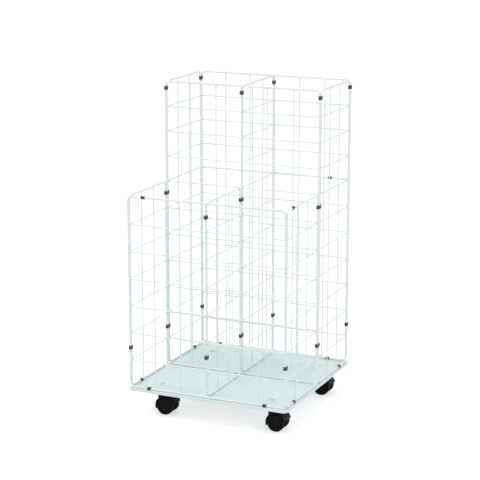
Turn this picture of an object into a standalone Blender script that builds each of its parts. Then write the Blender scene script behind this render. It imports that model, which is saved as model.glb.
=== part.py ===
"""Wire roll file: a low and a tall bay of welded wire panels on a sheet-steel tray with casters.

Metres, +Z up. The origin is on the floor under the middle of the cage. The low bays face -Y.
"""
import math

import bmesh
import bpy
from mathutils import Matrix, Vector

FIT = 0.0003              # clearance between pieces that touch
SMOOTH_ANGLE = 65         # degrees; edges that turn less are shaded smooth

# Welded panels
CAGE_WIDTH = 0.472        # left to right corner posts, centre to centre
CAGE_DEPTH = 0.472        # front to back panels, centre to centre
LOW_HEIGHT = 0.549        # low panels, bottom rail to top rail
TALL_HEIGHT = 0.838       # tall panels, bottom rail to top rail
MESH_PITCH = 0.0762       # spacing of the mesh wires, before it is evened out over a panel
ROD_DIAMETER = 0.0064     # rod around the edge of each panel
WAIST_DIAMETER = 0.0058   # rail across the tall sides and the back, level with the low top rails
WIRE_DIAMETER = 0.0038    # mesh wire
CORNER_RADIUS = 0.014     # bend of the edge rod, on its centre line
WELD_BITE = 0.0010        # how far crossing wires sink into each other
CORNER_STEPS = 3
WIRE_SIDES = 6

# Clips
CLIP_WALL = 0.0010
POST_CLIP_HEIGHT = 0.010
RAIL_CLIP_LENGTH = 0.011  # clips on the rails and over the bottom rails
CLIP_STEPS = 4            # sides of a clip's half-round end
LOW_CLIP_CELLS = 1.5      # height of the lowest clips, in mesh cells
SADDLE_PLACE = 0.75       # place of the tray clips along the first mesh cell of a bottom rail
RAIL_CLIP_INSET = 0.047   # clips on the low top rails, from the corner post
MIDDLE_CLIP_DROP = 0.034  # clips of the middle posts, below the low top rails
BACK_CLIP_PLACE = 0.75    # place of the clip on the back's waist rail along the last mesh cell

# Tray
TRAY_OVERHANG = 0.0035    # tray edge beyond the outside of the rods
TRAY_SHEET = 0.0015
TRAY_RIM = 0.008          # height of the turned-down rim, sheet included
TRAY_CORNER = 0.012
TRAY_CORNER_STEPS = 3

# Casters
CASTER_INSET = 0.065      # stem to the corner post, both ways
WHEEL_DIAMETER = 0.050
WHEEL_WIDTH = 0.016
WHEEL_EDGE = 0.0025       # chamfer of the tread
WHEEL_BORE_DEPTH = 0.011
WHEEL_SIDES = 20
WHEEL_GAP = 0.0005        # wheel to the core of the hood
TRAIL = 0.019             # axle behind the swivel axis
AXLE_DIAMETER = 0.006
HOOD_HEIGHT = 0.060       # floor to the top of the hood
HOOD_CORE = 0.014         # thickness of the hood between the wheels
HOOD_HUB_RADIUS = 0.016   # hub around the axle
HUB_ARC = (75, -135)      # degrees, from +X, where the round of the hub starts and ends
HOOD_BOSS_WALL = 0.0047   # around the swivel bore, fore and aft
HOOD_BOSS_FLOOR = 0.007   # under the swivel bore
HOOD_WALL = 0.003
HOOD_CLEARANCE = 0.002    # wheel to the inside of the hood
FENDER_ARC = (15, 200)    # degrees, from +X, where the fender starts and ends
HOOD_STEPS = 10
STEM_PIN_DIAMETER = 0.008
STEM_PIN_LENGTH = 0.028   # inside the hood
STEM_COLLAR_DIAMETER = 0.024
STEM_COLLAR_HEIGHT = 0.0216
STEM_NECK_DIAMETER = 0.010
STEM_HEAD_DIAMETER = 0.017
STEM_HEAD_CROWN = 0.0102  # flat on top of the head
STEM_HEAD_HEIGHT = 0.0025
STEM_HEAD_EDGE = 0.0008   # upright edge of the head
ROUND_STEPS = 12          # sides of stems, axles and bores

# Heights and places that follow from the sizes above
AXLE_HEIGHT = WHEEL_DIAMETER / 2 * math.cos(math.pi / WHEEL_SIDES)
TRAY_TOP = HOOD_HEIGHT + FIT + STEM_COLLAR_HEIGHT + FIT + TRAY_SHEET
RAIL_HEIGHT = TRAY_TOP + FIT + ROD_DIAMETER / 2
WIRE_LAYER = (WIRE_DIAMETER - WELD_BITE) / 2
WIRE_REACH = max(ROD_DIAMETER / 2, WIRE_LAYER + WIRE_DIAMETER / 2)
NEIGHBOUR = WIRE_REACH + FIT + ROD_DIAMETER / 2   # between the posts of panels that meet
BAY_LENGTH = CAGE_DEPTH / 2 - 2 * NEIGHBOUR
HOOD_WIDTH = HOOD_CORE + 2 * (WHEEL_GAP + WHEEL_WIDTH)
CLIP_ROUNDING = 1 / math.cos(math.pi / (2 * CLIP_STEPS))   # keeps a clip's flats clear of its rod

COLUMNS = {"left": -CAGE_WIDTH / 2, "centre": 0.0, "right": CAGE_WIDTH / 2}


def clear_scene():
    for scene_object in list(bpy.data.objects):
        bpy.data.objects.remove(scene_object)


def new_collection(name):
    collection = bpy.data.collections.new(name)
    bpy.context.scene.collection.children.link(collection)
    return collection


def material(name, colour, roughness, metallic=0.0):
    made = bpy.data.materials.new(name)
    made.use_nodes = True
    shader = made.node_tree.nodes["Principled BSDF"]
    shader.inputs["Base Color"].default_value = (*colour, 1.0)
    shader.inputs["Roughness"].default_value = roughness
    shader.inputs["Metallic"].default_value = metallic
    return made


clear_scene()
PARTS = new_collection("wire_roll_file")
CUTTERS = new_collection("wire_roll_file_cutters")
WHITE_WIRE = material("white_coated_wire", (0.86, 0.89, 0.89), 0.35)
WHITE_SHEET = material("white_enamel_sheet", (0.80, 0.84, 0.86), 0.40)
BLACK_CLIP = material("black_nylon", (0.040, 0.040, 0.038), 0.50)
BLACK_HOOD = material("black_moulded_hood", (0.012, 0.012, 0.013), 0.40)
BLACK_TREAD = material("black_wheel_tread", (0.020, 0.020, 0.021), 0.60)
ZINC = material("zinc_plated_steel", (0.62, 0.63, 0.65), 0.35, 1.0)


def add_part(name, mesh, finish, parent=None):
    part = bpy.data.objects.new(name, mesh)
    PARTS.objects.link(part)
    mesh.materials.append(finish)
    mesh.shade_smooth()
    mesh.set_sharp_from_angle(angle=math.radians(SMOOTH_ANGLE))
    part.parent = parent
    return part


def add_cutter(name, mesh, parent=None):
    cutter = bpy.data.objects.new(name, mesh)
    CUTTERS.objects.link(cutter)
    cutter.parent = parent
    cutter.hide_render = True
    cutter.display_type = "WIRE"
    return cutter


def combine(part, operation, tool):
    step = part.modifiers.new(tool.name, "BOOLEAN")
    step.operation = operation
    step.solver = "EXACT"
    step.object = tool


def mesh_from(name, bm):
    bmesh.ops.recalc_face_normals(bm, faces=bm.faces)
    mesh = bpy.data.meshes.new(name)
    bm.to_mesh(mesh)
    bm.free()
    return mesh


def settled_mesh(name, data, turn_steps=None):
    """The closed mesh of a bevelled or filled curve, or of a profile turned about Z, seams welded."""
    holder = bpy.data.objects.new(name, data)
    CUTTERS.objects.link(holder)
    if turn_steps:
        screw = holder.modifiers.new("turn", "SCREW")
        screw.steps = turn_steps
        screw.render_steps = turn_steps
        screw.use_merge_vertices = True
        screw.merge_threshold = 1e-6
    evaluated = holder.evaluated_get(bpy.context.evaluated_depsgraph_get())
    mesh = bpy.data.meshes.new_from_object(evaluated)
    bm = bmesh.new()
    bm.from_mesh(mesh)
    bmesh.ops.remove_doubles(bm, verts=bm.verts, dist=1e-6)
    bmesh.ops.recalc_face_normals(bm, faces=bm.faces)
    bm.to_mesh(mesh)
    bm.free()
    mesh.name = name
    bpy.data.objects.remove(holder)
    return mesh


def add_closed_spline(curve, points):
    spline = curve.splines.new("POLY")
    spline.points.add(len(points) - 1)
    for target, point in zip(spline.points, points):
        target.co = (*point, 1.0)
    spline.use_cyclic_u = True


def arc(centre, radius, first, last, steps):
    """Points in a plane along an arc, angles in degrees."""
    points = []
    for step in range(steps + 1):
        angle = math.radians(first + (last - first) * step / steps)
        points.append((centre[0] + radius * math.cos(angle), centre[1] + radius * math.sin(angle)))
    return points


def slab(name, outlines, thickness):
    """A flat solid in the XY plane, centred on it; outlines after the first are holes."""
    curve = bpy.data.curves.new(name, "CURVE")
    curve.dimensions = "2D"
    curve.fill_mode = "BOTH"
    curve.extrude = thickness / 2
    for outline in outlines:
        add_closed_spline(curve, [(x, y, 0.0) for x, y in outline])
    return settled_mesh(name, curve)


def rod_mesh(name, lines, diameter, sides):
    """Straight round bars, one for each pair of end points."""
    bm = bmesh.new()
    for start, end in lines:
        span = Vector(end) - Vector(start)
        place = Matrix.Translation((Vector(start) + Vector(end)) / 2)
        place = place @ span.to_track_quat("Z", "X").to_matrix().to_4x4()
        place = place @ Matrix.Rotation(math.pi / sides, 4, "Z")
        bmesh.ops.create_cone(
            bm, cap_ends=True, segments=sides, radius1=diameter / 2, radius2=diameter / 2,
            depth=span.length, matrix=place)
    return mesh_from(name, bm)


def turned_mesh(name, profile, steps, first_angle=0.0):
    """A solid turned about Z from (radius, height) points that run down the outside."""
    bm = bmesh.new()
    turn = Matrix.Rotation(first_angle, 3, "Z")
    line = [bm.verts.new(turn @ Vector((radius, 0.0, height))) for radius, height in profile]
    for upper, lower in zip(line, line[1:]):
        bm.edges.new((upper, lower))
    return settled_mesh(name, mesh_from(name, bm), turn_steps=steps)


def edge_rod(name, width, height):
    """The bent rod around a panel, in the XZ plane, from its bottom rail's middle upwards."""
    across = width / 2 - CORNER_RADIUS
    corners = [(across, CORNER_RADIUS), (across, height - CORNER_RADIUS),
               (-across, height - CORNER_RADIUS), (-across, CORNER_RADIUS)]
    outline = []
    for turn, corner in enumerate(corners):
        outline += arc(corner, CORNER_RADIUS, 90 * turn - 90, 90 * turn, CORNER_STEPS)
    curve = bpy.data.curves.new(name, "CURVE")
    curve.dimensions = "3D"
    curve.bevel_depth = ROD_DIAMETER / 2
    curve.bevel_resolution = WIRE_SIDES // 2 - 2
    add_closed_spline(curve, [(x, 0.0, z) for x, z in outline])
    return settled_mesh(name, curve)


def cell_count(length):
    return max(1, round(length / MESH_PITCH))


def even_rows(bottom, top):
    """Heights between two levels, evenly spaced, about a mesh pitch apart."""
    rows = cell_count(top - bottom)
    return [bottom + (top - bottom) * row / rows for row in range(1, rows)]


def crosswire_heights(height):
    """Heights above the bottom rail; the rows of tall panels line up with those of low ones."""
    if height <= LOW_HEIGHT:
        return even_rows(0.0, height)
    return [*even_rows(0.0, LOW_HEIGHT), LOW_HEIGHT, *even_rows(LOW_HEIGHT, height)]


def panel(name, width, height, cells, place, turn, waist=False):
    """A welded panel: edge rod, uprights on its one side and crosswires on the other.

    A panel with a waist has a rail in its own plane instead of the crosswire level with the low top rails.
    """
    uprights = []
    for cell in range(1, cells):
        x = width * cell / cells - width / 2
        uprights.append(((x, WIRE_LAYER, 0.0), (x, WIRE_LAYER, height)))
    crosswires = []
    for z in crosswire_heights(height):
        if not (waist and z == LOW_HEIGHT):
            crosswires.append(((-width / 2, -WIRE_LAYER, z), (width / 2, -WIRE_LAYER, z)))
    wires = [("uprights", uprights, WIRE_DIAMETER), ("crosswires", crosswires, WIRE_DIAMETER)]
    if waist:
        rail = ((-width / 2, 0.0, LOW_HEIGHT), (width / 2, 0.0, LOW_HEIGHT))
        wires.append(("waist_rail", [rail], WAIST_DIAMETER))
    welded = add_part(name, edge_rod(name, width, height), WHITE_WIRE)
    pieces = [welded]
    for kind, lines, diameter in wires:
        mesh = rod_mesh(f"{name}_{kind}", lines, diameter, WIRE_SIDES)
        pieces.append(add_cutter(f"{name}_{kind}", mesh))
        combine(welded, "UNION", pieces[-1])
    for piece in pieces:
        piece.location = (*place, RAIL_HEIGHT)
        piece.rotation_euler = (0.0, 0.0, math.radians(turn))


def across_cells():
    """Mesh cells across the cage: an even number, so that a wire stands in the middle."""
    return 2 * cell_count(CAGE_WIDTH / 2)


def make_panels():
    for name, y, height, waist in (("front_panel", -CAGE_DEPTH / 2, LOW_HEIGHT, False),
                                   ("middle_panel", 0.0, TALL_HEIGHT, False),
                                   ("back_panel", CAGE_DEPTH / 2, TALL_HEIGHT, True)):
        panel(name, CAGE_WIDTH, height, across_cells(), (0.0, y), 0, waist)
    for bay, y, height in (("low", -CAGE_DEPTH / 4, LOW_HEIGHT), ("tall", CAGE_DEPTH / 4, TALL_HEIGHT)):
        for column, x in COLUMNS.items():
            kind = "divider" if column == "centre" else "side"
            waist = bay == "tall" and kind == "side"
            panel(f"{column}_{bay}_{kind}", BAY_LENGTH, height, cell_count(BAY_LENGTH), (x, y), 90, waist)


def stadium(half_length, radius):
    """Outline of a slot along Y with round ends."""
    outline = arc((0.0, half_length), radius, 0, 180, CLIP_STEPS)
    return outline + arc((0.0, -half_length), radius, 180, 360, CLIP_STEPS)


def post_clip(name, x, first_y, last_y, height):
    """A sleeve around posts that stand side by side from first_y to last_y."""
    half_length = (last_y - first_y) / 2
    inside = (WIRE_REACH + FIT) * CLIP_ROUNDING
    outlines = [stadium(half_length, inside + CLIP_WALL), stadium(half_length, inside)]
    clip = add_part(name, slab(name, outlines, POST_CLIP_HEIGHT), BLACK_CLIP)
    clip.location = (x, (first_y + last_y) / 2, RAIL_HEIGHT + height)


def clear_of_crosswires(wanted):
    """The wanted clip height, lowered where the clip would meet a crosswire."""
    margin = (POST_CLIP_HEIGHT + max(WIRE_DIAMETER, WAIST_DIAMETER)) / 2 + FIT
    for row in reversed(crosswire_heights(TALL_HEIGHT)):
        if abs(wanted - row) < margin:
            wanted = row - margin
    return wanted


def make_post_clips():
    below_corner = CORNER_RADIUS + POST_CLIP_HEIGHT / 2 + FIT
    low = clear_of_crosswires(LOW_CLIP_CELLS * MESH_PITCH)
    middle = clear_of_crosswires(LOW_HEIGHT - MIDDLE_CLIP_DROP)
    top = clear_of_crosswires(TALL_HEIGHT - below_corner)
    front_y = -CAGE_DEPTH / 2
    back_y = CAGE_DEPTH / 2
    for column, x in COLUMNS.items():
        post_clip(f"front_{column}_low_clip", x, front_y, front_y + NEIGHBOUR, low)
        post_clip(f"middle_{column}_low_clip", x, -NEIGHBOUR, NEIGHBOUR, low)
        post_clip(f"middle_{column}_clip", x, -NEIGHBOUR, NEIGHBOUR, middle)
        post_clip(f"middle_{column}_top_clip", x, 0.0, NEIGHBOUR, top)
        post_clip(f"back_{column}_low_clip", x, back_y - NEIGHBOUR, back_y, low)
        post_clip(f"back_{column}_top_clip", x, back_y - NEIGHBOUR, back_y, top)
    upper = clear_of_crosswires(LOW_HEIGHT - MESH_PITCH / 2)
    post_clip("front_centre_upper_clip", 0.0, front_y, front_y + NEIGHBOUR, upper)


def saddle_clip(name, x, y, turn):
    """An arch over a bottom rail, standing on the tray; the rail runs along its own Z."""
    inside = (ROD_DIAMETER / 2 + FIT) * CLIP_ROUNDING
    outside = inside + CLIP_WALL
    foot = -ROD_DIAMETER / 2
    outline = [(outside, foot), *arc((0.0, 0.0), outside, 0, 180, CLIP_STEPS), (-outside, foot),
               (-inside, foot), *arc((0.0, 0.0), inside, 180, 0, CLIP_STEPS), (inside, foot)]
    clip = add_part(name, slab(name, [outline], RAIL_CLIP_LENGTH), BLACK_CLIP)
    clip.location = (x, y, RAIL_HEIGHT)
    clip.rotation_euler = (math.radians(90), 0.0, math.radians(turn))


def make_saddle_clips():
    along_front = CAGE_WIDTH / 2 - SADDLE_PLACE * CAGE_WIDTH / across_cells()
    along_side = CAGE_DEPTH / 2 - NEIGHBOUR - SADDLE_PLACE * BAY_LENGTH / cell_count(BAY_LENGTH)
    for end, sign in (("front", -1), ("back", 1)):
        saddle_clip(f"{end}_left_tray_clip", -along_front, sign * CAGE_DEPTH / 2, 90)
        saddle_clip(f"{end}_right_tray_clip", along_front, sign * CAGE_DEPTH / 2, 90)
        saddle_clip(f"left_{end}_tray_clip", -CAGE_WIDTH / 2, sign * along_side, 0)
        saddle_clip(f"right_{end}_tray_clip", CAGE_WIDTH / 2, sign * along_side, 0)


def ring_clip(name, place, diameter, turn):
    """A ring around one rail, which runs along its own Z."""
    inside = (diameter / 2 + FIT) * CLIP_ROUNDING
    sides = 2 * CLIP_STEPS
    last_corner = 360 - 360 / sides
    rings = [arc((0.0, 0.0), radius, 0, last_corner, sides - 1) for radius in (inside + CLIP_WALL, inside)]
    clip = add_part(name, slab(name, rings, RAIL_CLIP_LENGTH), BLACK_CLIP)
    clip.location = place
    clip.rotation_euler = (math.radians(90), 0.0, math.radians(turn))


def make_ring_clips():
    left, right = COLUMNS["left"], COLUMNS["right"]
    front_y = -CAGE_DEPTH / 2
    top = RAIL_HEIGHT + LOW_HEIGHT
    ring_clip("front_rail_clip", (left + RAIL_CLIP_INSET, front_y, top), ROD_DIAMETER, 90)
    ring_clip("right_rail_clip", (right, front_y + RAIL_CLIP_INSET, top), ROD_DIAMETER, 0)
    back_x = right - BACK_CLIP_PLACE * CAGE_WIDTH / across_cells()
    ring_clip("back_rail_clip", (back_x, CAGE_DEPTH / 2, top), WAIST_DIAMETER, 90)


def caster_places():
    for end, y_sign in (("front", -1), ("back", 1)):
        for side, x_sign in (("left", -1), ("right", 1)):
            x = x_sign * (CAGE_WIDTH / 2 - CASTER_INSET)
            y = y_sign * (CAGE_DEPTH / 2 - CASTER_INSET)
            yield f"{end}_{side}", x, y


def make_tray():
    """A sheet pan turned upside down, with a hole for each caster stem."""
    margin = ROD_DIAMETER + 2 * TRAY_OVERHANG
    size = Vector((CAGE_WIDTH + margin, CAGE_DEPTH + margin, TRAY_RIM))
    bm = bmesh.new()
    bmesh.ops.create_cube(bm, size=1.0, matrix=Matrix.Diagonal((*size, 1.0)))
    underside = [face for face in bm.faces if face.normal.z < -0.5]
    bmesh.ops.delete(bm, geom=underside, context="FACES_ONLY")
    upright = [edge for edge in bm.edges if abs(edge.verts[0].co.z - edge.verts[1].co.z) > TRAY_RIM / 2]
    bmesh.ops.bevel(
        bm, geom=upright, offset=TRAY_CORNER, segments=TRAY_CORNER_STEPS, profile=0.5, affect="EDGES")
    tray = add_part("base_tray", mesh_from("base_tray", bm), WHITE_SHEET)
    tray.location = (0.0, 0.0, TRAY_TOP - TRAY_RIM / 2)
    wall = tray.modifiers.new("sheet", "SOLIDIFY")
    wall.thickness = TRAY_SHEET
    wall.offset = -1.0
    wall.use_even_offset = True
    for corner, x, y in caster_places():
        hole = (Vector((x, y, TRAY_TOP - TRAY_RIM)), Vector((x, y, TRAY_TOP + TRAY_RIM)))
        name = f"{corner}_stem_hole"
        drill = add_cutter(name, rod_mesh(name, [hole], STEM_NECK_DIAMETER + 2 * FIT, ROUND_STEPS))
        combine(tray, "DIFFERENCE", drill)


def make_stem(corner, caster):
    """Pin, collar, neck through the tray and riveted head, in one piece."""
    pin = STEM_PIN_DIAMETER / 2
    collar = STEM_COLLAR_DIAMETER / 2
    neck = STEM_NECK_DIAMETER / 2
    head = STEM_HEAD_DIAMETER / 2
    pin_foot = HOOD_HEIGHT - STEM_PIN_LENGTH
    collar_foot = HOOD_HEIGHT + FIT
    collar_top = collar_foot + STEM_COLLAR_HEIGHT
    head_foot = TRAY_TOP + FIT
    head_top = head_foot + STEM_HEAD_HEIGHT
    profile = [(0.0, head_top), (STEM_HEAD_CROWN / 2, head_top), (head, head_foot + STEM_HEAD_EDGE),
               (head, head_foot), (neck, head_foot), (neck, collar_top), (collar, collar_top),
               (collar, collar_foot), (pin, collar_foot), (pin, pin_foot), (0.0, pin_foot)]
    name = f"{corner}_stem"
    add_part(name, turned_mesh(name, profile, ROUND_STEPS), ZINC, caster)


def hood_core_outline():
    """Side view of the hood between the wheels: the stem boss and the hub around the axle."""
    boss = STEM_PIN_DIAMETER / 2 + FIT + HOOD_BOSS_WALL
    hub = arc((TRAIL, AXLE_HEIGHT), HOOD_HUB_RADIUS, *HUB_ARC, HOOD_STEPS)
    foot = HOOD_HEIGHT - STEM_PIN_LENGTH - FIT - HOOD_BOSS_FLOOR
    return [(-boss, HOOD_HEIGHT), (boss, HOOD_HEIGHT), *hub, (-boss, foot)]


def make_hood(corner, caster):
    """A curved fender over both wheels on a core that carries the axle and the swivel bore."""
    inside = WHEEL_DIAMETER / 2 + HOOD_CLEARANCE
    outside = inside + HOOD_WALL
    axle = (TRAIL, AXLE_HEIGHT)
    fender = arc(axle, outside, *FENDER_ARC, HOOD_STEPS)
    fender += arc(axle, inside, *reversed(FENDER_ARC), HOOD_STEPS)
    upright = (math.radians(90), 0.0, 0.0)
    name = f"{corner}_hood"
    hood = add_part(name, slab(name, [fender], HOOD_WIDTH), BLACK_HOOD, caster)
    hood.rotation_euler = upright
    core = add_cutter(f"{name}_core", slab(f"{name}_core", [hood_core_outline()], HOOD_CORE), caster)
    core.rotation_euler = upright
    combine(hood, "UNION", core)
    bore_foot = HOOD_HEIGHT - STEM_PIN_LENGTH - FIT
    bore = [((0.0, 0.0, bore_foot), (0.0, 0.0, HOOD_HEIGHT + HOOD_WALL))]
    bores = (("swivel_bore", bore, STEM_PIN_DIAMETER), ("axle_bore", axle_line(HOOD_WIDTH), AXLE_DIAMETER))
    for kind, line, diameter in bores:
        drill_mesh = rod_mesh(f"{name}_{kind}", line, diameter + 2 * FIT, ROUND_STEPS)
        combine(hood, "DIFFERENCE", add_cutter(f"{name}_{kind}", drill_mesh, caster))


def axle_line(length):
    return [((TRAIL, -length / 2, AXLE_HEIGHT), (TRAIL, length / 2, AXLE_HEIGHT))]


def make_axle(corner, caster):
    length = HOOD_CORE + 2 * (WHEEL_GAP + WHEEL_BORE_DEPTH - FIT)
    name = f"{corner}_axle"
    add_part(name, rod_mesh(name, axle_line(length), AXLE_DIAMETER, ROUND_STEPS), ZINC, caster)


def make_wheel(name, caster, side):
    """A chamfered wheel with a blind bore; side is -1 for the front wheel of a pair, 1 for the back one."""
    radius = WHEEL_DIAMETER / 2
    bore = AXLE_DIAMETER / 2 + FIT
    profile = [(0.0, WHEEL_WIDTH), (radius - WHEEL_EDGE, WHEEL_WIDTH), (radius, WHEEL_WIDTH - WHEEL_EDGE),
               (radius, WHEEL_EDGE), (radius - WHEEL_EDGE, 0.0), (bore, 0.0), (bore, WHEEL_BORE_DEPTH),
               (0.0, WHEEL_BORE_DEPTH)]
    mesh = turned_mesh(name, profile, WHEEL_SIDES, first_angle=math.pi / WHEEL_SIDES)
    wheel = add_part(name, mesh, BLACK_TREAD, caster)
    wheel.location = (TRAIL, side * (HOOD_CORE / 2 + WHEEL_GAP), AXLE_HEIGHT)
    wheel.rotation_euler = (math.radians(-90 * side), 0.0, 0.0)


def make_casters():
    for corner, x, y in caster_places():
        caster = bpy.data.objects.new(f"{corner}_caster", None)
        PARTS.objects.link(caster)
        caster.location = (x, y, 0.0)
        make_stem(corner, caster)
        make_hood(corner, caster)
        make_axle(corner, caster)
        make_wheel(f"{corner}_front_wheel", caster, -1)
        make_wheel(f"{corner}_back_wheel", caster, 1)


make_panels()
make_post_clips()
make_saddle_clips()
make_ring_clips()
make_tray()
make_casters()
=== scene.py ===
# %% [markdown]
# # A wire roll file, dressed piece by piece
#
# A roll file is office storage on casters, open at the top. This one is a cage of welded white wire: low
# bays in front, tall bays behind, a divider through the middle, black clips where panels meet and a pressed
# steel tray underneath. The solids that carry and move it are loaded first. The cells after that model the
# finished surface of each piece over its solid, so nothing here changes a size.

import math

import bmesh
import bpy
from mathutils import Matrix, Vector


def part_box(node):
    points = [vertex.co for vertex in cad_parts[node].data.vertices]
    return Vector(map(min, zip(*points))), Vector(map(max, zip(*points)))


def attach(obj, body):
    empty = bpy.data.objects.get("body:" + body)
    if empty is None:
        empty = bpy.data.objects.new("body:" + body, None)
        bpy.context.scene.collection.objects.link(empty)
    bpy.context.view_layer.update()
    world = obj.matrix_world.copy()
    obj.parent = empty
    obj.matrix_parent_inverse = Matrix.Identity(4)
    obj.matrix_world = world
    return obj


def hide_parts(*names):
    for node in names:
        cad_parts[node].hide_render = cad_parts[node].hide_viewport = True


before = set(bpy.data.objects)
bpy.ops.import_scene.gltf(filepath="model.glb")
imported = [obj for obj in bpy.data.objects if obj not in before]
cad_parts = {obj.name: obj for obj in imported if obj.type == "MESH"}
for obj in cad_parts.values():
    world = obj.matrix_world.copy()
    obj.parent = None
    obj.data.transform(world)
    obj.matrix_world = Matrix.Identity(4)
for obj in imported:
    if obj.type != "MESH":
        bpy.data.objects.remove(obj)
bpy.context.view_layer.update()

# %% [markdown]
# ## Camera
#
# The wires of the cage converge only a little, so the photograph was taken from far away with a long lens.
# Lens and place were worked out from the corners of the cage: about 24 degrees round to the right, looking
# down by about 13.5 degrees. A camera that stands level has no roll, so two turns are enough to aim it.

# %% Camera
PHOTO_PIXELS = 480
FOCAL_PIXELS = 1633
SENSOR_WIDTH = 36.0
VIEW_AZIMUTH = math.radians(24.29)
VIEW_TILT = math.radians(13.51)
CAMERA_PLACE = (1.856, -4.121, 1.570)

bpy.ops.object.select_all(action="DESELECT")
bpy.ops.object.camera_add(location=CAMERA_PLACE, rotation=(math.pi / 2 - VIEW_TILT, 0.0, VIEW_AZIMUTH))
camera = bpy.context.active_object
camera.data.sensor_width = SENSOR_WIDTH
camera.data.lens = SENSOR_WIDTH * FOCAL_PIXELS / PHOTO_PIXELS
bpy.context.scene.camera = camera
bpy.context.scene.view_settings.view_transform = "Standard"
print("lens", round(camera.data.lens, 1), "mm")

# %% [markdown]
# ## Floor
#
# A catalogue picture has no horizon, only white with a soft shadow. A very large plane fills the view. Its
# own white is lifted for rays that come from the camera, from gloss or through glass, so it looks like paper
# there, while it still takes the object's shadow and throws back plain light.

# %% Floor
FLOOR_SIZE = 120.0
FLOOR_COLOUR = (0.90, 0.90, 0.90, 1.0)
PAPER_LIFT = 0.53


def seen_directly(tree):
    """One for rays that come from the camera, from gloss or through glass, and zero for plain light."""
    path = tree.nodes.new("ShaderNodeLightPath")
    seen = path.outputs["Is Camera Ray"]
    for kind in ("Is Glossy Ray", "Is Transmission Ray"):
        either = tree.nodes.new("ShaderNodeMath")
        either.operation = "MAXIMUM"
        tree.links.new(seen, either.inputs[0])
        tree.links.new(path.outputs[kind], either.inputs[1])
        seen = either.outputs["Value"]
    return seen


def paper_finish():
    finish = bpy.data.materials.new("paper_floor")
    finish.use_nodes = True
    shader = finish.node_tree.nodes["Principled BSDF"]
    shader.inputs["Base Color"].default_value = FLOOR_COLOUR
    shader.inputs["Roughness"].default_value = 0.9
    shader.inputs["Specular IOR Level"].default_value = 0.0
    shader.inputs["Emission Color"].default_value = (1.0, 1.0, 1.0, 1.0)
    lift = finish.node_tree.nodes.new("ShaderNodeMath")
    lift.operation = "MULTIPLY"
    lift.inputs[1].default_value = PAPER_LIFT
    finish.node_tree.links.new(seen_directly(finish.node_tree), lift.inputs[0])
    finish.node_tree.links.new(lift.outputs["Value"], shader.inputs["Emission Strength"])
    return finish


bpy.ops.object.select_all(action="DESELECT")
bpy.ops.mesh.primitive_plane_add(size=FLOOR_SIZE)
floor = bpy.context.active_object
floor.name = "floor"
floor.data.materials.append(paper_finish())
print("floor", FLOOR_SIZE, "m square")

# %% [markdown]
# ## Light
#
# White wire on white paper shows only by its shaded side. A large soft lamp hangs above and a little to the
# left, so the rails are bright on top and the uprights are softly shaded all round. A weak one on the right
# keeps their far side from going grey, and the sky fills the rest. Together they add up to a plain level, so
# a colour renders about as it is written. Where the sky itself is seen, it is as white as the floor.

# %% Light
LOOK_AT = Vector((0.0, 0.0, 0.45))
SKY_STRENGTH = 0.62
LAMPS = {
    "key_lamp": {"place": (-1.1, -0.9, 4.6), "size": 3.2, "power": 72.0},
    "fill_lamp": {"place": (3.6, -2.4, 2.2), "size": 3.0, "power": 34.0},
}


def studio_sky():
    sky = bpy.data.worlds.new("studio_sky")
    sky.use_nodes = True
    background = sky.node_tree.nodes["Background"]
    background.inputs["Color"].default_value = (1.0, 1.0, 1.0, 1.0)
    whiten = sky.node_tree.nodes.new("ShaderNodeMath")
    whiten.operation = "MULTIPLY_ADD"
    whiten.inputs[1].default_value = 1.0 - SKY_STRENGTH
    whiten.inputs[2].default_value = SKY_STRENGTH
    sky.node_tree.links.new(seen_directly(sky.node_tree), whiten.inputs[0])
    sky.node_tree.links.new(whiten.outputs["Value"], background.inputs["Strength"])
    return sky


bpy.context.scene.world = studio_sky()
for name, lamp in LAMPS.items():
    aim = (LOOK_AT - Vector(lamp["place"])).to_track_quat("-Z", "Y").to_euler()
    bpy.ops.object.light_add(type="AREA", location=lamp["place"], rotation=aim)
    light = bpy.context.active_object
    light.name = name
    light.data.size = lamp["size"]
    light.data.energy = lamp["power"]
    print(name, lamp["power"], "W")

# %% [markdown]
# ## Finishes
#
# Every finish is built from nodes on Object coordinates, which are metres here, so a noise of scale 500 has
# grains of about two millimetres. One helper starts the shader and one makes a noise. The others let a noise
# drive a colour, a number or a fine relief. A noise seldom leaves the middle of its range, so numbers are
# spread over that part alone.

# %% Helpers for finishes
NOISE_LOW = 0.3
NOISE_HIGH = 0.7


def start_finish(name, colour, roughness, metallic=0.0):
    """A new node material; returns it with its shader and the Object coordinates."""
    finish = bpy.data.materials.new(name)
    finish.use_nodes = True
    shader = finish.node_tree.nodes["Principled BSDF"]
    shader.inputs["Base Color"].default_value = (*colour, 1.0)
    shader.inputs["Roughness"].default_value = roughness
    shader.inputs["Metallic"].default_value = metallic
    coordinates = finish.node_tree.nodes.new("ShaderNodeTexCoord")
    return finish, shader, coordinates.outputs["Object"]


def noise(finish, coordinates, scale, detail=3.0, stretch=(1.0, 1.0, 1.0)):
    """A noise in grains per metre, longer along an axis whose stretch is below one."""
    nodes = finish.node_tree.nodes
    links = finish.node_tree.links
    place = nodes.new("ShaderNodeMapping")
    place.inputs["Scale"].default_value = stretch
    grain = nodes.new("ShaderNodeTexNoise")
    grain.inputs["Scale"].default_value = scale
    grain.inputs["Detail"].default_value = detail
    links.new(coordinates, place.inputs["Vector"])
    links.new(place.outputs["Vector"], grain.inputs["Vector"])
    return grain.outputs["Fac"]


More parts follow.
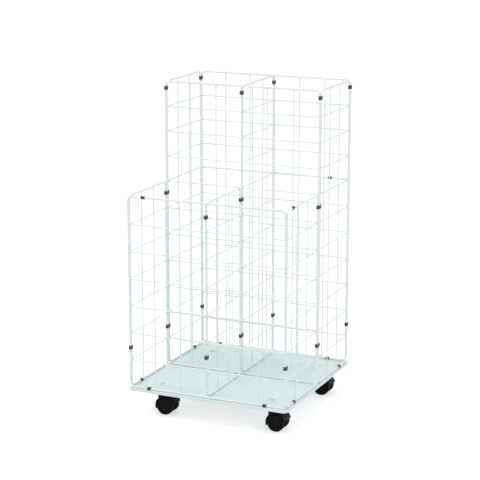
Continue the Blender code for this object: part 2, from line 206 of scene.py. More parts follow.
def blend_colours(finish, factor, stops, socket):
    """Colours a socket by a factor, through (position, colour) stops."""
    ramp = finish.node_tree.nodes.new("ShaderNodeValToRGB")
    elements = ramp.color_ramp.elements
    while len(elements) < len(stops):
        elements.new(0.5)
    for element, (position, colour) in zip(elements, stops):
        element.position = position
        element.color = (*colour, 1.0)
    finish.node_tree.links.new(factor, ramp.inputs["Fac"])
    finish.node_tree.links.new(ramp.outputs["Color"], socket)


def spread(finish, factor, low, high, socket):
    """Lets a factor drive a number socket between two values."""
    scale = finish.node_tree.nodes.new("ShaderNodeMapRange")
    scale.inputs["From Min"].default_value = NOISE_LOW
    scale.inputs["From Max"].default_value = NOISE_HIGH
    scale.inputs["To Min"].default_value = low
    scale.inputs["To Max"].default_value = high
    finish.node_tree.links.new(factor, scale.inputs["Value"])
    finish.node_tree.links.new(scale.outputs["Result"], socket)


def relief(finish, factor, depth, strength, shader):
    """Bumps the surface by a factor, depth in metres."""
    bump = finish.node_tree.nodes.new("ShaderNodeBump")
    bump.inputs["Distance"].default_value = depth
    bump.inputs["Strength"].default_value = strength
    finish.node_tree.links.new(factor, bump.inputs["Height"])
    finish.node_tree.links.new(bump.outputs["Normal"], shader.inputs["Normal"])


# %% [markdown]
# ### White coatings
#
# The wire is dipped or dusted with white powder and baked, which leaves a satin skin with a faint orange
# peel. It is a cool white, a little greener where the coat is thick. The tray has the same coat on flat
# sheet, where long faint rub marks show from things that were set down and slid about. On the tray that
# white is painted a little darker and bluer than on the wire, as painted shade for the shadow it lies in.

# %% White coatings
def wire_coat():
    finish, shader, coordinates = start_finish("white_wire_coat", (0.84, 0.92, 0.91), roughness=0.36)
    cloudy = noise(finish, coordinates, scale=26.0, detail=4.0)
    stops = [(0.30, (0.80, 0.89, 0.88)), (0.52, (0.84, 0.92, 0.91)), (0.75, (0.88, 0.94, 0.94))]
    blend_colours(finish, cloudy, stops, shader.inputs["Base Color"])
    satin = noise(finish, coordinates, scale=160.0)
    spread(finish, satin, low=0.30, high=0.46, socket=shader.inputs["Roughness"])
    orange_peel = noise(finish, coordinates, scale=900.0, detail=2.0)
    relief(finish, orange_peel, depth=0.00012, strength=0.35, shader=shader)
    return finish


def tray_coat():
    # Painted shade: these colours are the wire's white made a little darker and bluer, for the shade the tray
    # lies in.
    finish, shader, coordinates = start_finish("white_tray_coat_with_painted_shade", (0.78, 0.89, 0.91), roughness=0.38)
    cloudy = noise(finish, coordinates, scale=9.0, detail=5.0)
    stops = [(0.30, (0.73, 0.85, 0.87)), (0.55, (0.78, 0.89, 0.91)), (0.80, (0.82, 0.92, 0.93))]
    blend_colours(finish, cloudy, stops, shader.inputs["Base Color"])
    rubbed = noise(finish, coordinates, scale=240.0, detail=6.0, stretch=(0.05, 1.0, 1.0))
    spread(finish, rubbed, low=0.28, high=0.52, socket=shader.inputs["Roughness"])
    orange_peel = noise(finish, coordinates, scale=700.0, detail=2.0)
    relief(finish, orange_peel, depth=0.00012, strength=0.30, shader=shader)
    return finish


WIRE_COAT = wire_coat()
SHADED_TRAY_COAT = tray_coat()
print("finishes", WIRE_COAT.name, SHADED_TRAY_COAT.name)

# %% [markdown]
# ### Black plastics
#
# Clips, hoods and wheels are moulded black nylon. A clip comes from a polished mould and keeps a satin face,
# a hood has a fine spark-eroded grain, and a wheel is dulled by the floor, with dust worked into its tread.
# Real black plastic is never fully black, so each keeps a little grey and a slow change of tone.

# %% Black plastics
def black_plastic(name, dark, light, gloss, roughness, grain_scale, grain_depth):
    finish, shader, coordinates = start_finish(name, dark, roughness[0])
    shader.inputs["Specular IOR Level"].default_value = gloss
    tone = noise(finish, coordinates, scale=120.0, detail=5.0)
    blend_colours(finish, tone, [(0.35, dark), (0.75, light)], shader.inputs["Base Color"])
    dulled = noise(finish, coordinates, scale=340.0, detail=4.0)
    spread(finish, dulled, *roughness, socket=shader.inputs["Roughness"])
    grain = noise(finish, coordinates, scale=grain_scale, detail=2.0)
    relief(finish, grain, depth=grain_depth, strength=0.4, shader=shader)
    return finish


CLIP_NYLON = black_plastic("black_clip_nylon", dark=(0.046, 0.046, 0.045), light=(0.080, 0.080, 0.077),
                           gloss=0.30, roughness=(0.40, 0.56), grain_scale=2200.0, grain_depth=0.00006)
HOOD_NYLON = black_plastic("black_hood_nylon", dark=(0.002, 0.002, 0.002), light=(0.006, 0.006, 0.006),
                           gloss=0.11, roughness=(0.36, 0.50), grain_scale=1600.0, grain_depth=0.00010)
TREAD_NYLON = black_plastic("black_tread_nylon", dark=(0.002, 0.002, 0.002), light=(0.008, 0.008, 0.008),
                            gloss=0.09, roughness=(0.52, 0.74), grain_scale=900.0, grain_depth=0.00014)
print("finishes", CLIP_NYLON.name, HOOD_NYLON.name, TREAD_NYLON.name)

# %% [markdown]
# ### Zinc
#
# Stems and axles are plain steel with a bright, faintly blue zinc plating. Plating has small crystals, each
# reflecting a little differently, so a cell pattern drives the tone and a noise drives the gloss.

# %% Zinc
def zinc_plate():
    finish, shader, coordinates = start_finish("zinc_plate", (0.60, 0.65, 0.67), roughness=0.32, metallic=1.0)
    crystals = finish.node_tree.nodes.new("ShaderNodeTexVoronoi")
    crystals.inputs["Scale"].default_value = 420.0
    finish.node_tree.links.new(coordinates, crystals.inputs["Vector"])
    stops = [(0.05, (0.52, 0.57, 0.59)), (0.60, (0.67, 0.72, 0.74))]
    blend_colours(finish, crystals.outputs["Distance"], stops, shader.inputs["Base Color"])
    polish = noise(finish, coordinates, scale=600.0)
    spread(finish, polish, low=0.24, high=0.42, socket=shader.inputs["Roughness"])
    grain = noise(finish, coordinates, scale=1200.0)
    relief(finish, grain, depth=0.00005, strength=0.25, shader=shader)
    return finish


ZINC_PLATE = zinc_plate()
print("finish", ZINC_PLATE.name)

# %% [markdown]
# ## Working in edit mode
#
# The pieces are made as by hand: a primitive, a selection, an operator. In a script the selection is the
# part that needs care, because an operator acts on all that is selected. The first helpers add a primitive
# with nothing else selected, at its size and place, and pick its elements by a test on where they are. A face
# looks along an axis when its normal has more than a half, the FACING share, in that direction.

# %% Helpers for primitives and selections
ALONG_X = (0.0, math.pi / 2, 0.0)
ALONG_Y = (math.pi / 2, 0.0, 0.0)
UPRIGHT = (0.0, 0.0, 0.0)
FACING = 0.5


def select_only(*pieces):
    bpy.ops.object.select_all(action="DESELECT")
    for piece in pieces:
        piece.select_set(True)
    bpy.context.view_layer.objects.active = pieces[0]


def fresh(add, **settings):
    """Adds a primitive with nothing else selected, and applies its turn."""
    bpy.ops.object.select_all(action="DESELECT")
    add(**settings)
    bpy.ops.object.transform_apply(location=True, rotation=True, scale=True)
    return bpy.context.active_object


def placed(piece, size, place, turn=UPRIGHT):
    """Gives a primitive of unit size its size, turn and place, and applies them to its mesh."""
    piece.scale = size
    piece.rotation_euler = turn
    piece.location = place
    select_only(piece)
    bpy.ops.object.transform_apply(location=True, rotation=True, scale=True)
    return piece


def round_bar(sides, radius, length, place=(0.0, 0.0, 0.0), turn=UPRIGHT):
    """A cylinder along Z, turned about its middle."""
    return fresh(bpy.ops.mesh.primitive_cylinder_add, vertices=sides, radius=radius, depth=length,
                 location=place, rotation=turn)


def pick(kind, test):
    """In edit mode, selects only the VERT, EDGE or FACE elements that pass a test."""
    bpy.ops.mesh.select_mode(type=kind)
    bpy.ops.mesh.select_all(action="DESELECT")
    data = bpy.context.edit_object.data
    mesh = bmesh.from_edit_mesh(data)
    elements = {"VERT": mesh.verts, "EDGE": mesh.edges, "FACE": mesh.faces}[kind]
    for element in elements:
        element.select_set(test(element))
    mesh.select_flush_mode()
    bmesh.update_edit_mesh(data)


def edge_middle(edge):
    return (edge.verts[0].co + edge.verts[1].co) / 2


# %% [markdown]
# ### Finishing a piece
#
# A modifier is added and applied at once, so that what follows works on the real mesh. Where two bevels or
# two cuts meet, they leave points on top of each other, and these are merged. At the end a piece is coated,
# rides on its body, and hides the solid that it stands for.

# %% Helpers for modifiers and finished pieces
MERGE_DISTANCE = 2e-6


def apply_modifier(piece, kind, **settings):
    select_only(piece)
    modifier = piece.modifiers.new(kind.lower(), kind)
    for setting, value in settings.items():
        setattr(modifier, setting, value)
    bpy.ops.object.modifier_apply(modifier=modifier.name)


def merge_doubles(piece):
    """Merges points that lie on each other, as where two bevels or two cuts meet."""
    apply_modifier(piece, "WELD", merge_threshold=MERGE_DISTANCE)


def soften(piece, width, segments=3, angle=35):
    """Rounds the sharp edges, as a mould or a press leaves them."""
    apply_modifier(piece, "BEVEL", width=width, segments=segments, limit_method="ANGLE",
                   angle_limit=math.radians(angle), use_clamp_overlap=True, harden_normals=False)
    merge_doubles(piece)


def combine(piece, tool, operation):
    """Joins or cuts with another mesh, which is then removed."""
    apply_modifier(piece, "BOOLEAN", operation=operation, solver="EXACT", object=tool)
    bpy.data.objects.remove(tool)
    merge_doubles(piece)


def hand_over(piece, name, node, body, finish, smooth_angle=40):
    """Names a piece, coats it, and puts it in the place of its solid."""
    select_only(piece)
    bpy.ops.object.transform_apply(location=True, rotation=True, scale=True)
    bpy.ops.object.shade_smooth_by_angle(angle=math.radians(smooth_angle))
    piece.name = name
    piece.data.name = name
    piece.data.materials.clear()
    piece.data.materials.append(finish)
    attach(piece, body)
    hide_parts(node)


def copy_of(original):
    """A copy with its own mesh."""
    select_only(original)
    bpy.ops.object.duplicate(linked=False)
    return bpy.context.active_object


def middle(node):
    low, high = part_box(node)
    return (low + high) / 2


# %% [markdown]
# ## Welded panels
#
# A panel is a rod bent into a frame, with thinner wires welded across it: uprights on one face, crosswires
# on the other, so they cross without weaving. The frame starts as a plane whose corners are rounded with a
# vertex bevel; the outline becomes a curve, the curve gets a round section, and that becomes a mesh again.

# %% Edge rod
ROD_DIAMETER = 0.0064
BEND_RADIUS = 0.014
BEND_STEPS = 10
ROD_SIDES = 16


def edge_rod(width, height):
    """The bent rod around a panel, upright in XZ, with the middle of its bottom rail at the origin."""
    plane = fresh(bpy.ops.mesh.primitive_plane_add, size=1.0, rotation=ALONG_Y)
    rod = placed(plane, (width, 1.0, height), (0.0, 0.0, height / 2))
    bpy.ops.object.mode_set(mode="EDIT")
    bpy.ops.mesh.select_all(action="SELECT")
    bpy.ops.mesh.bevel(offset=BEND_RADIUS, segments=BEND_STEPS, affect="VERTICES")
    bpy.ops.mesh.select_all(action="SELECT")
    bpy.ops.mesh.delete(type="ONLY_FACE")
    bpy.ops.object.mode_set(mode="OBJECT")
    bpy.ops.object.convert(target="CURVE")
    rod.data.bevel_depth = ROD_DIAMETER / 2
    rod.data.bevel_resolution = ROD_SIDES // 2 - 2
    bpy.ops.object.convert(target="MESH")
    return rod


# %% [markdown]
# ### Mesh wires and welds
#
# The wires of one layer are alike and evenly spaced, so one is modelled and an Array repeats it. Where two
# wires are pressed together and welded, the steel squeezes out and the coat fills the corner. A small
# flattened bead at every crossing and every end gives that soft corner.

# %% Mesh wires and welds
WIRE_DIAMETER = 0.0038
WIRE_SIDES = 12
WIRE_LAYER = 0.0014
WIRE_END_EDGE = WIRE_DIAMETER / 8
BEAD_RADIUS = 0.0024
END_BEAD_RADIUS = 0.0026
BEAD_FLATNESS = 0.9


def repeat(piece, step, count):
    apply_modifier(piece, "ARRAY", use_relative_offset=False, use_constant_offset=True,
                   constant_offset_displace=step, count=count)


def wire_layer(length, first, turn, step, count):
    """Straight wires side by side, each with softened ends."""
    wires = round_bar(WIRE_SIDES, WIRE_DIAMETER / 2, length, first, turn)
    soften(wires, WIRE_END_EDGE, segments=2, angle=60)
    repeat(wires, step, count)
    return wires


def bead_grid(radius, first, across, columns, up, rows):
    """Weld beads in a grid: flattened balls with few faces."""
    beads = fresh(bpy.ops.mesh.primitive_ico_sphere_add, subdivisions=2, radius=radius, location=first)
    bpy.ops.object.mode_set(mode="EDIT")
    bpy.ops.mesh.select_all(action="SELECT")
    bpy.ops.transform.resize(value=(1.0, BEAD_FLATNESS, 1.0), center_override=first)
    bpy.ops.object.mode_set(mode="OBJECT")
    repeat(beads, (across, 0.0, 0.0), columns)
    repeat(beads, (0.0, 0.0, up), rows)
    return beads


# %% [markdown]
# ### Two layers of wire
#
# Uprights run from rail to rail, crosswires from post to post. Each layer is a row of even wires with their
# weld beads: both layers have one at either end, and the crosswires have one at every upright as well.

# %% Two layers of wire
def uprights(width, height, cells):
    """The wires from rail to rail, with a weld bead at both ends."""
    cell = width / cells
    first = cell - width / 2
    reach = ROD_DIAMETER / 2
    wires = wire_layer(height, (first, WIRE_LAYER, height / 2), UPRIGHT, (cell, 0.0, 0.0), cells - 1)
    ends = bead_grid(END_BEAD_RADIUS, (first, WIRE_LAYER, reach), cell, cells - 1, height - 2 * reach, 2)
    return [wires, ends]


def crosswires(width, cells, lowest, step, count):
    """The wires from post to post, with a weld bead at both ends and at every upright."""
    cell = width / cells
    inside = width / 2 - ROD_DIAMETER / 2
    wires = wire_layer(width, (0.0, -WIRE_LAYER, lowest), ALONG_X, (0.0, 0.0, step), count)
    ends = bead_grid(END_BEAD_RADIUS, (-inside, -WIRE_LAYER, lowest), 2 * inside, 2, step, count)
    crossings = bead_grid(BEAD_RADIUS, (cell - width / 2, 0.0, lowest), cell, cells - 1, step, count)
    return [wires, ends, crossings]


# %% [markdown]
# ### Rows and the waist rail
#
# The rows of the tall panels line up with those of the low ones: one set of even rows reaches up to the low
# top rails, another from there to the top. Between them the tall sides and the back have a rail nearly as
# thick as the edge rod, in the same plane, so a line runs right round the cage at that height.

# %% Rows and the waist rail
MESH_PITCH = 0.0762
WAIST_DIAMETER = 0.0058
WAIST_BEAD_RADIUS = 0.0034
SOLID_ROD_FLATS = ROD_DIAMETER * math.cos(math.pi / 6)
low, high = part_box("front_panel")
LOW_TOP = high.z - low.z - SOLID_ROD_FLATS


def even_rows(bottom, top):
    """Lowest height, step and count of the crosswires between two levels."""
    rows = round((top - bottom) / MESH_PITCH)
    step = (top - bottom) / rows
    return bottom + step, step, rows - 1


def waist_rail(width, cells):
    """The rail at the height of the low top rails, with beads at its posts and along every upright."""
    cell = width / cells
    inside = width / 2 - ROD_DIAMETER / 2
    first = (cell - width / 2, WIRE_LAYER, LOW_TOP - WAIST_DIAMETER / 2)
    rail = round_bar(ROD_SIDES, WAIST_DIAMETER / 2, width, (0.0, 0.0, LOW_TOP), ALONG_X)
    ends = bead_grid(WAIST_BEAD_RADIUS, (-inside, 0.0, LOW_TOP), 2 * inside, 2, 0.0, 1)
    crossings = bead_grid(BEAD_RADIUS, first, cell, cells - 1, WAIST_DIAMETER, 2)
    return [rail, ends, crossings]


print("low top rails", round(LOW_TOP, 4), "m above the bottom rails")

# %% [markdown]
# ### All nine panels
#
# Each panel reads its own size and place from its solid. The solid's rod is six-sided and lies on its flats,
# which are a little closer together than the round rod's diameter, so the centre lines are found from there.

# %% Panels
PANELS = ["front_panel", "middle_panel", "back_panel", "left_low_side", "right_low_side",
          "centre_low_divider", "left_tall_side", "right_tall_side", "centre_tall_divider"]
WAISTED = ["back_panel", "left_tall_side", "right_tall_side"]
FULL_WIDTH_CELLS = 6
BAY_CELLS = 3


def welded_panel(width, height, cells, waisted):
    """Rod, wires, rail and weld beads, joined as one welded piece."""
    pieces = [edge_rod(width, height)]
    pieces += uprights(width, height, cells)
    pieces += crosswires(width, cells, *even_rows(0.0, LOW_TOP))
    if height > LOW_TOP + ROD_DIAMETER:
        pieces += crosswires(width, cells, *even_rows(LOW_TOP, height))
        pieces += waist_rail(width, cells) if waisted else crosswires(width, cells, LOW_TOP, 0.0, 1)
    select_only(*pieces)
    bpy.ops.object.join()
    return pieces[0]


for node in PANELS:
    low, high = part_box(node)
    size = high - low
    crosswise = size.x > size.y
    width = max(size.x, size.y) - SOLID_ROD_FLATS
    height = size.z - SOLID_ROD_FLATS
    panel = welded_panel(width, height, FULL_WIDTH_CELLS if crosswise else BAY_CELLS, node in WAISTED)
    panel.rotation_euler.z = 0.0 if crosswise else math.pi / 2
    panel.location = ((low.x + high.x) / 2, (low.y + high.y) / 2, low.z + SOLID_ROD_FLATS / 2)
    hand_over(panel, f"{node}_wirework", node, "cage", WIRE_COAT, smooth_angle=60)
    print(node, round(width, 4), "x", round(height, 4), "m,", len(panel.data.polygons), "faces")

# %% [markdown]
# ## Tray
#
# The tray is one sheet with its edges folded down, so the top edge is round and the corners are drawn. A box
# without its underside is bevelled twice, first at the corners, then along the fold, and Solidify gives the
# sheet its thickness inwards. The stem holes are drilled last.

# %% Tray
TRAY_SHEET = 0.0015
TRAY_CORNER = 0.012
TRAY_CORNER_STEPS = 10
TRAY_FOLD = 0.0022
TRAY_FOLD_STEPS = 5
TRAY_EDGE = TRAY_SHEET / 5
HOLE_DIAMETER = 0.0106
DRILL_LENGTH = 0.048
BORE_SIDES = 32
CORNERS = ["front_left", "front_right", "back_left", "back_right"]

low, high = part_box("base_tray")
tray = placed(fresh(bpy.ops.mesh.primitive_cube_add, size=1.0), high - low, (low + high) / 2)
bpy.ops.object.mode_set(mode="EDIT")
pick("FACE", lambda face: face.normal.z < -FACING)
bpy.ops.mesh.delete(type="FACE")
pick("EDGE", lambda edge: abs(edge.verts[0].co.z - edge.verts[1].co.z) > TRAY_SHEET)
bpy.ops.mesh.bevel(offset=TRAY_CORNER, segments=TRAY_CORNER_STEPS, affect="EDGES")
pick("EDGE", lambda edge: all(vertex.co.z > high.z - TRAY_SHEET for vertex in edge.verts))
bpy.ops.mesh.bevel(offset=TRAY_FOLD, segments=TRAY_FOLD_STEPS, affect="EDGES")
bpy.ops.object.mode_set(mode="OBJECT")
apply_modifier(tray, "SOLIDIFY", thickness=TRAY_SHEET, offset=-1.0, use_even_offset=True)
for corner in CORNERS:
    centre = middle(f"{corner}_stem")
    drill = round_bar(BORE_SIDES, HOLE_DIAMETER / 2, DRILL_LENGTH, (centre.x, centre.y, high.z))
    combine(tray, drill, "DIFFERENCE")
soften(tray, TRAY_EDGE, segments=2, angle=50)
hand_over(tray, "base_tray_sheet", "base_tray", "cage", SHADED_TRAY_COAT)
print("tray", [round(value, 4) for value in high - low], "m")

# %% [markdown]
# ## Clips
#
# The clips that tie posts together are moulded collars: an oval sleeve with a recessed belt round its middle
# and a thin seam where it snaps shut. A cylinder is drawn out into an oval by moving its halves apart, two
# bisects mark the belt, an extrude sinks it, and bridging the two end faces opens it. The rims are rounded
# more than the belt, so they get a bevel of their own.

# %% Clip sleeve
CLIP_SIDES = 40
CLIP_WALL = 0.0010
CLIP_RIM = 0.0004
CLIP_RIM_STEPS = 3
CLIP_RIM_ANGLE = math.radians(60)
CLIP_EDGE = 0.0001
BELT_SHARE = 0.45
BELT_DEPTH = 0.0003
SEAM_WIDTH = 0.0005
SEAM_DEPTH = 0.0005


def clip_sleeve(outside, up, down, length):
    """An oval collar around Z: its ends are moved up and down along Y from a round one."""
    half_a_side = (0.0, 0.0, math.pi / CLIP_SIDES)
    clip = round_bar(CLIP_SIDES, outside, length, turn=half_a_side)
    bpy.ops.object.mode_set(mode="EDIT")
    pick("VERT", lambda vertex: vertex.co.y > 0)
    bpy.ops.transform.translate(value=(0.0, up, 0.0))
    pick("VERT", lambda vertex: vertex.co.y < 0)
    bpy.ops.transform.translate(value=(0.0, -down, 0.0))
    belt = BELT_SHARE * length / 2
    for height in (-belt, belt):
        bpy.ops.mesh.select_all(action="SELECT")
        bpy.ops.mesh.bisect(plane_co=(0.0, 0.0, height), plane_no=(0.0, 0.0, 1.0))
    pick("FACE", lambda face: abs(face.normal.z) < FACING and abs(face.calc_center_median().z) < belt / 2)
    bpy.ops.mesh.extrude_region_shrink_fatten(TRANSFORM_OT_shrink_fatten={"value": -BELT_DEPTH})
    end = length / 2 - CLIP_EDGE
    pick("FACE", lambda face: abs(face.normal.z) > FACING and abs(face.calc_center_median().z) > end)
    bpy.ops.mesh.inset(thickness=CLIP_WALL)
    bpy.ops.mesh.bridge_edge_loops()
    pick("EDGE", lambda edge: edge.calc_face_angle(0.0) > CLIP_RIM_ANGLE and abs(edge_middle(edge).z) > end)
    bpy.ops.mesh.bevel(offset=CLIP_RIM, segments=CLIP_RIM_STEPS, affect="EDGES")
    bpy.ops.object.mode_set(mode="OBJECT")
    return clip


def snap_seam(clip, outside, length):
    """A thin slot down the side of the collar, where it snaps shut."""
    cube = fresh(bpy.ops.mesh.primitive_cube_add, size=1.0)
    blade = placed(cube, (2 * SEAM_DEPTH, SEAM_WIDTH, 2 * length), (outside, 0.0, 0.0))
    combine(clip, blade, "DIFFERENCE")


# %% [markdown]
# ### Post clips
#
# Two posts stand side by side at the front, the back and the top; three meet at the middle panel below the
# low rail. One collar of each length is modelled and copied. Copies on the right are turned half round, so
# that the seam faces into the cage.

# %% Post clips
COLUMNS = ["left", "centre", "right"]
LEVELS = ["front_{}_low_clip", "middle_{}_low_clip", "middle_{}_clip", "middle_{}_top_clip",
          "back_{}_low_clip", "back_{}_top_clip"]
post_clips = [level.format(column) for level in LEVELS for column in COLUMNS] + ["front_centre_upper_clip"]
patterns = {}


def post_clip_pattern(size):
    """The collar for a solid of this size, modelled the first time it is asked for."""
    key = round(size.y, 4)
    if key not in patterns:
        outside = size.x / 2
        stretch = size.y / 2 - outside
        pattern = clip_sleeve(outside, stretch, stretch, size.z)
        snap_seam(pattern, outside, size.z)
        soften(pattern, CLIP_EDGE)
        patterns[key] = pattern
    return patterns[key]


for node in post_clips:
    low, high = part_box(node)
    clip = copy_of(post_clip_pattern(high - low))
    clip.location = (low + high) / 2
    clip.rotation_euler.z = math.pi if clip.location.x > 0 else 0.0
    hand_over(clip, f"{node}_moulding", node, "cage", CLIP_NYLON)
for pattern in patterns.values():
    bpy.data.objects.remove(pattern)
print(len(post_clips), "post clips from", len(patterns), "patterns")

# %% [markdown]
# ### Tray clips and rail clips
#
# A tray clip is an arch over the bottom rail with its feet on the tray. It is the same collar, drawn out
# downwards and cut off level with the tray. A rail clip is the collar left round. Both lie along a rail, so
# they are turned from Z to the direction of that rail.

# %% Tray clips and rail clips
RAIL_CLIPS = ["front_rail_clip", "right_rail_clip", "back_rail_clip"]
ENDS = ["front", "back"]
SIDES = ["left", "right"]
tray_clips = [f"{end}_{side}_tray_clip" for end in ENDS for side in SIDES]
tray_clips += [f"{side}_{end}_tray_clip" for end in ENDS for side in SIDES]


def along_x(node):
    """The rails of the front and the back run along X, those of the sides along Y."""
    return node.startswith(tuple(ENDS))


def lay_along_rail(clip, node):
    """Turns a collar from Z to the direction of its rail."""
    clip.rotation_euler = (math.pi / 2, 0.0, math.pi / 2 if along_x(node) else 0.0)


for node in tray_clips:
    low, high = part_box(node)
    size = high - low
    length, thickness = (size.x, size.y) if along_x(node) else (size.y, size.x)
    outside = thickness / 2
    leg = size.z - outside
    clip = clip_sleeve(outside, 0.0, 2 * leg, length)
    bpy.ops.object.mode_set(mode="EDIT")
    bpy.ops.mesh.select_all(action="SELECT")
    bpy.ops.mesh.bisect(plane_co=(0.0, -leg, 0.0), plane_no=(0.0, 1.0, 0.0), use_fill=True, clear_inner=True)
    bpy.ops.object.mode_set(mode="OBJECT")
    soften(clip, CLIP_EDGE)
    lay_along_rail(clip, node)
    clip.location = ((low.x + high.x) / 2, (low.y + high.y) / 2, high.z - outside)
    hand_over(clip, f"{node}_moulding", node, "cage", CLIP_NYLON)
for node in RAIL_CLIPS:
    low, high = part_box(node)
    size = high - low
    clip = clip_sleeve(size.z / 2, 0.0, 0.0, size.x if along_x(node) else size.y)
    soften(clip, CLIP_EDGE)
    lay_along_rail(clip, node)
    clip.location = (low + high) / 2
    hand_over(clip, f"{node}_moulding", node, "cage", CLIP_NYLON)
print(len(tray_clips), "tray clips,", len(RAIL_CLIPS), "rail clips")

# %% [markdown]
# ## Caster stems
#
# A stem holds its caster to the tray. It has a collar under the sheet, a neck through the hole, a head
# riveted over on top and a pin that the hood swivels on. It starts as the collar. Both end faces are inset
# and extruded, the way the blank is turned down, and the head is domed in three steps. Each step takes a
# share of the dome's height and leaves a share of its width.

# %% Caster stems
FIT = 0.0003
STEM_PIN_RADIUS = 0.004
STEM_NECK_RADIUS = 0.005
STEM_HEAD_RADIUS = 0.0085
STEM_HEAD_EDGE = 0.0008
STEM_DOME = ((0.55, 0.86), (0.30, 0.72), (0.15, 0.50))
STEM_EDGE = 0.0003
STEM_SIDES = 48


def extrude_up(distance):
    bpy.ops.mesh.extrude_region_move(TRANSFORM_OT_translate={"value": (0.0, 0.0, distance)})


def widen(factor, centre):
    bpy.ops.transform.resize(value=(factor, factor, 1.0), center_override=centre)


def caster_stem(corner):
    low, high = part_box(f"{corner}_stem")
    centre = (low + high) / 2
    collar_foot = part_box(f"{corner}_hood")[1].z + FIT
    collar_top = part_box("base_tray")[1].z - TRAY_SHEET - FIT
    collar_radius = (high.x - low.x) / 2
    head_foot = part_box("base_tray")[1].z + FIT
    collar_middle = Vector((centre.x, centre.y, (collar_top + collar_foot) / 2))
    stem = round_bar(STEM_SIDES, collar_radius, collar_top - collar_foot, collar_middle)
    bpy.ops.object.mode_set(mode="EDIT")
    pick("FACE", lambda face: face.normal.z > FACING)
    bpy.ops.mesh.inset(thickness=collar_radius - STEM_NECK_RADIUS)
    extrude_up(head_foot - collar_top)
    extrude_up(0.0)
    widen(STEM_HEAD_RADIUS / STEM_NECK_RADIUS, centre)
    extrude_up(STEM_HEAD_EDGE)
    dome = high.z - head_foot - STEM_HEAD_EDGE
    for rise, width_left in STEM_DOME:
        extrude_up(dome * rise)
        widen(width_left, centre)
    pick("FACE", lambda face: face.normal.z < -FACING and face.calc_center_median().z < collar_foot + FIT)
    bpy.ops.mesh.inset(thickness=collar_radius - STEM_PIN_RADIUS)
    extrude_up(low.z - collar_foot)
    bpy.ops.object.mode_set(mode="OBJECT")
    soften(stem, STEM_EDGE, segments=2, angle=50)
    return stem


# %% [markdown]
# ### Stems in place, and the axles
#
# A stem is riveted to the tray, so it rides on the cage. An axle is a plain pin, hidden between its wheels.
# Its solid already has the right shape, so it stays and only gets the plating.

# %% Stems and axles
for corner in CORNERS:
    stem = caster_stem(corner)
    hand_over(stem, f"{corner}_stem_turning", f"{corner}_stem", "cage", ZINC_PLATE)
    axle_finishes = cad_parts[f"{corner}_axle"].data.materials
    axle_finishes.clear()
    axle_finishes.append(ZINC_PLATE)
print("stems", len(CORNERS), "with", len(stem.data.polygons), "faces each")

# %% [markdown]
# ## Caster hoods
#
# The hood is one moulding: a curved fender over both wheels, a core between them that holds the axle, and a
# round turret that takes the stem. The fender comes first. Its section is a small plane with rounded
# shoulders, spun about the axle.

# %% Caster fender
HOOD_INSIDE = 0.027
HOOD_WALL = 0.003
HOOD_SHOULDER = 0.0022
HOOD_SHOULDER_STEPS = 6
FENDER_START = math.radians(15)
FENDER_SWEEP = math.radians(185)
FENDER_STEPS = 48


def fender(axle, width):
    """A curved cover around the axle, made by spinning its section."""
    radius = HOOD_INSIDE + HOOD_WALL / 2
    reach = Vector((math.cos(FENDER_START), 0.0, math.sin(FENDER_START)))
    plane = fresh(bpy.ops.mesh.primitive_plane_add, size=1.0)
    cover = placed(plane, (HOOD_WALL, width, 1.0), axle + radius * reach, (0.0, -FENDER_START, 0.0))
    bpy.ops.object.mode_set(mode="EDIT")
    pick("VERT", lambda vertex: (vertex.co - axle).dot(reach) > radius)
    bpy.ops.mesh.bevel(offset=HOOD_SHOULDER, segments=HOOD_SHOULDER_STEPS, affect="VERTICES")
    bpy.ops.mesh.select_all(action="SELECT")
    bpy.ops.mesh.spin(steps=FENDER_STEPS, angle=FENDER_SWEEP, center=axle, axis=(0.0, 1.0, 0.0))
    bpy.ops.mesh.select_all(action="SELECT")
    bpy.ops.mesh.remove_doubles(threshold=MERGE_DISTANCE)
    bpy.ops.mesh.normals_make_consistent(inside=False)
    bpy.ops.object.mode_set(mode="OBJECT")
    return cover


# %% [markdown]
# ### Core, turret and bores
#
# The core is a round hub about the axle with a straight web above it, as wide as the gap between the wheels.
# Hub, web and turret have softened edges before they are joined to the fender, because the joints themselves
# stay crisp in such a moulding. The bores for stem and axle are cut last.

# %% Caster hoods
HOOD_EDGE = HOOD_WALL / 4
ROUND_SIDES = 64
CORE_WIDTH = 0.014
HUB_RADIUS = 0.016
WEB_LENGTH = 0.018
TURRET_RADIUS = 0.0112
TURRET_HEIGHT = 0.012
AXLE_BORE = 0.0033
SWIVEL_BORE = 0.0043
SWIVEL_BORE_DEPTH = 0.0283


def caster_hood(corner):
    low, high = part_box(f"{corner}_hood")
    axle = middle(f"{corner}_axle")
    stem = middle(f"{corner}_stem")
    hood = fender(axle, high.y - low.y)
    hub = round_bar(ROUND_SIDES, HUB_RADIUS, CORE_WIDTH, axle, ALONG_Y)
    cube = fresh(bpy.ops.mesh.primitive_cube_add, size=1.0)
    web_middle = (stem.x, stem.y, (high.z + axle.z) / 2 - HOOD_WALL)
    web = placed(cube, (WEB_LENGTH, CORE_WIDTH, high.z - axle.z), web_middle)
    turret_middle = (stem.x, stem.y, high.z - TURRET_HEIGHT / 2)
    turret = round_bar(ROUND_SIDES, TURRET_RADIUS, TURRET_HEIGHT, turret_middle)
    for block in (hub, web, turret):
        soften(block, HOOD_EDGE)
        combine(hood, block, "UNION")
    stem_drill = round_bar(BORE_SIDES, SWIVEL_BORE, 2 * SWIVEL_BORE_DEPTH, (stem.x, stem.y, high.z))
    combine(hood, stem_drill, "DIFFERENCE")
    axle_drill = round_bar(BORE_SIDES, AXLE_BORE, 2 * CORE_WIDTH, axle, ALONG_Y)
    combine(hood, axle_drill, "DIFFERENCE")
    return hood


for corner in CORNERS:
    hood = caster_hood(corner)
    hand_over(hood, f"{corner}_hood_shell", f"{corner}_hood", f"{corner}_caster", HOOD_NYLON)
print("hoods", len(CORNERS), "with", len(hood.data.polygons), "faces each")

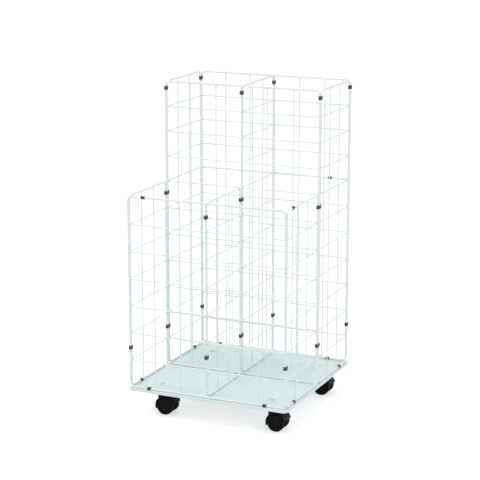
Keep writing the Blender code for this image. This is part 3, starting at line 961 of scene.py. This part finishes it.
# %% [markdown]
# ## Caster wheels
#
# Each wheel of a pair turns by itself. The tread is plain, the outer face is dished behind a rim, and a cap
# closes the hub. A disc is enough to start from: its outer face is inset and extruded in and out again for
# rim, dish and cap, and its inner face gets the blind bore for the axle. Only faces that look squarely along
# the axle are picked for this, so the rounded edge of the tread stays out.

# %% Caster wheel
SQUARELY = 0.99
WHEEL_SIDES = 72
WHEEL_RIM = 0.0035
WHEEL_DISH = 0.0014
CAP_RADIUS = 0.0085
CAP_RISE = 0.0010
CAP_DIMPLE = 0.0004
WHEEL_EDGE = 0.0016
WHEEL_EDGE_STEPS = 4
WHEEL_BORE = 0.0033
WHEEL_BORE_DEPTH = 0.011


def sink(distance):
    """Extrudes the picked face along Y; the wheel's outer face looks to -Y."""
    bpy.ops.mesh.extrude_region_move(TRANSFORM_OT_translate={"value": (0.0, distance, 0.0)})


def wheel_pattern(radius, width):
    """A wheel about Y at the origin, with its outer face to -Y."""
    wheel = round_bar(WHEEL_SIDES, radius, width, turn=ALONG_Y)
    bpy.ops.object.mode_set(mode="EDIT")
    pick("EDGE", lambda edge: edge.verts[0].co.y * edge.verts[1].co.y > 0)
    bpy.ops.mesh.bevel(offset=WHEEL_EDGE, segments=WHEEL_EDGE_STEPS, affect="EDGES")
    pick("FACE", lambda face: face.normal.y < -SQUARELY)
    bpy.ops.mesh.inset(thickness=WHEEL_RIM)
    sink(WHEEL_DISH)
    bpy.ops.mesh.inset(thickness=radius - WHEEL_EDGE - WHEEL_RIM - CAP_RADIUS)
    sink(-CAP_RISE)
    bpy.ops.mesh.inset(thickness=CAP_RADIUS / 2)
    sink(CAP_DIMPLE)
    pick("FACE", lambda face: face.normal.y > SQUARELY and face.calc_center_median().y > width / 4)
    bpy.ops.mesh.inset(thickness=radius - WHEEL_EDGE - WHEEL_BORE)
    sink(-WHEEL_BORE_DEPTH)
    bpy.ops.object.mode_set(mode="OBJECT")
    soften(wheel, CAP_DIMPLE / 2, segments=2, angle=50)
    return wheel


# %% [markdown]
# ### Wheels in pairs
#
# One wheel is modelled and copied. The wheel stands on the floor, so its radius is the height of its middle.
# The back wheel of each pair is turned half round, so that both caps face outwards.

# %% Wheels in pairs
PAIR_TURNS = {"front": 0.0, "back": math.pi}

low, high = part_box("front_left_front_wheel")
wheel = wheel_pattern((low.z + high.z) / 2, high.y - low.y)
for corner in CORNERS:
    for end, turn in PAIR_TURNS.items():
        node = f"{corner}_{end}_wheel"
        copy = copy_of(wheel)
        copy.location = middle(node)
        copy.rotation_euler.z = turn
        hand_over(copy, f"{node}_moulding", node, node, TREAD_NYLON)
print("wheels", 2 * len(CORNERS), "with", len(wheel.data.polygons), "faces each")
bpy.data.objects.remove(wheel)
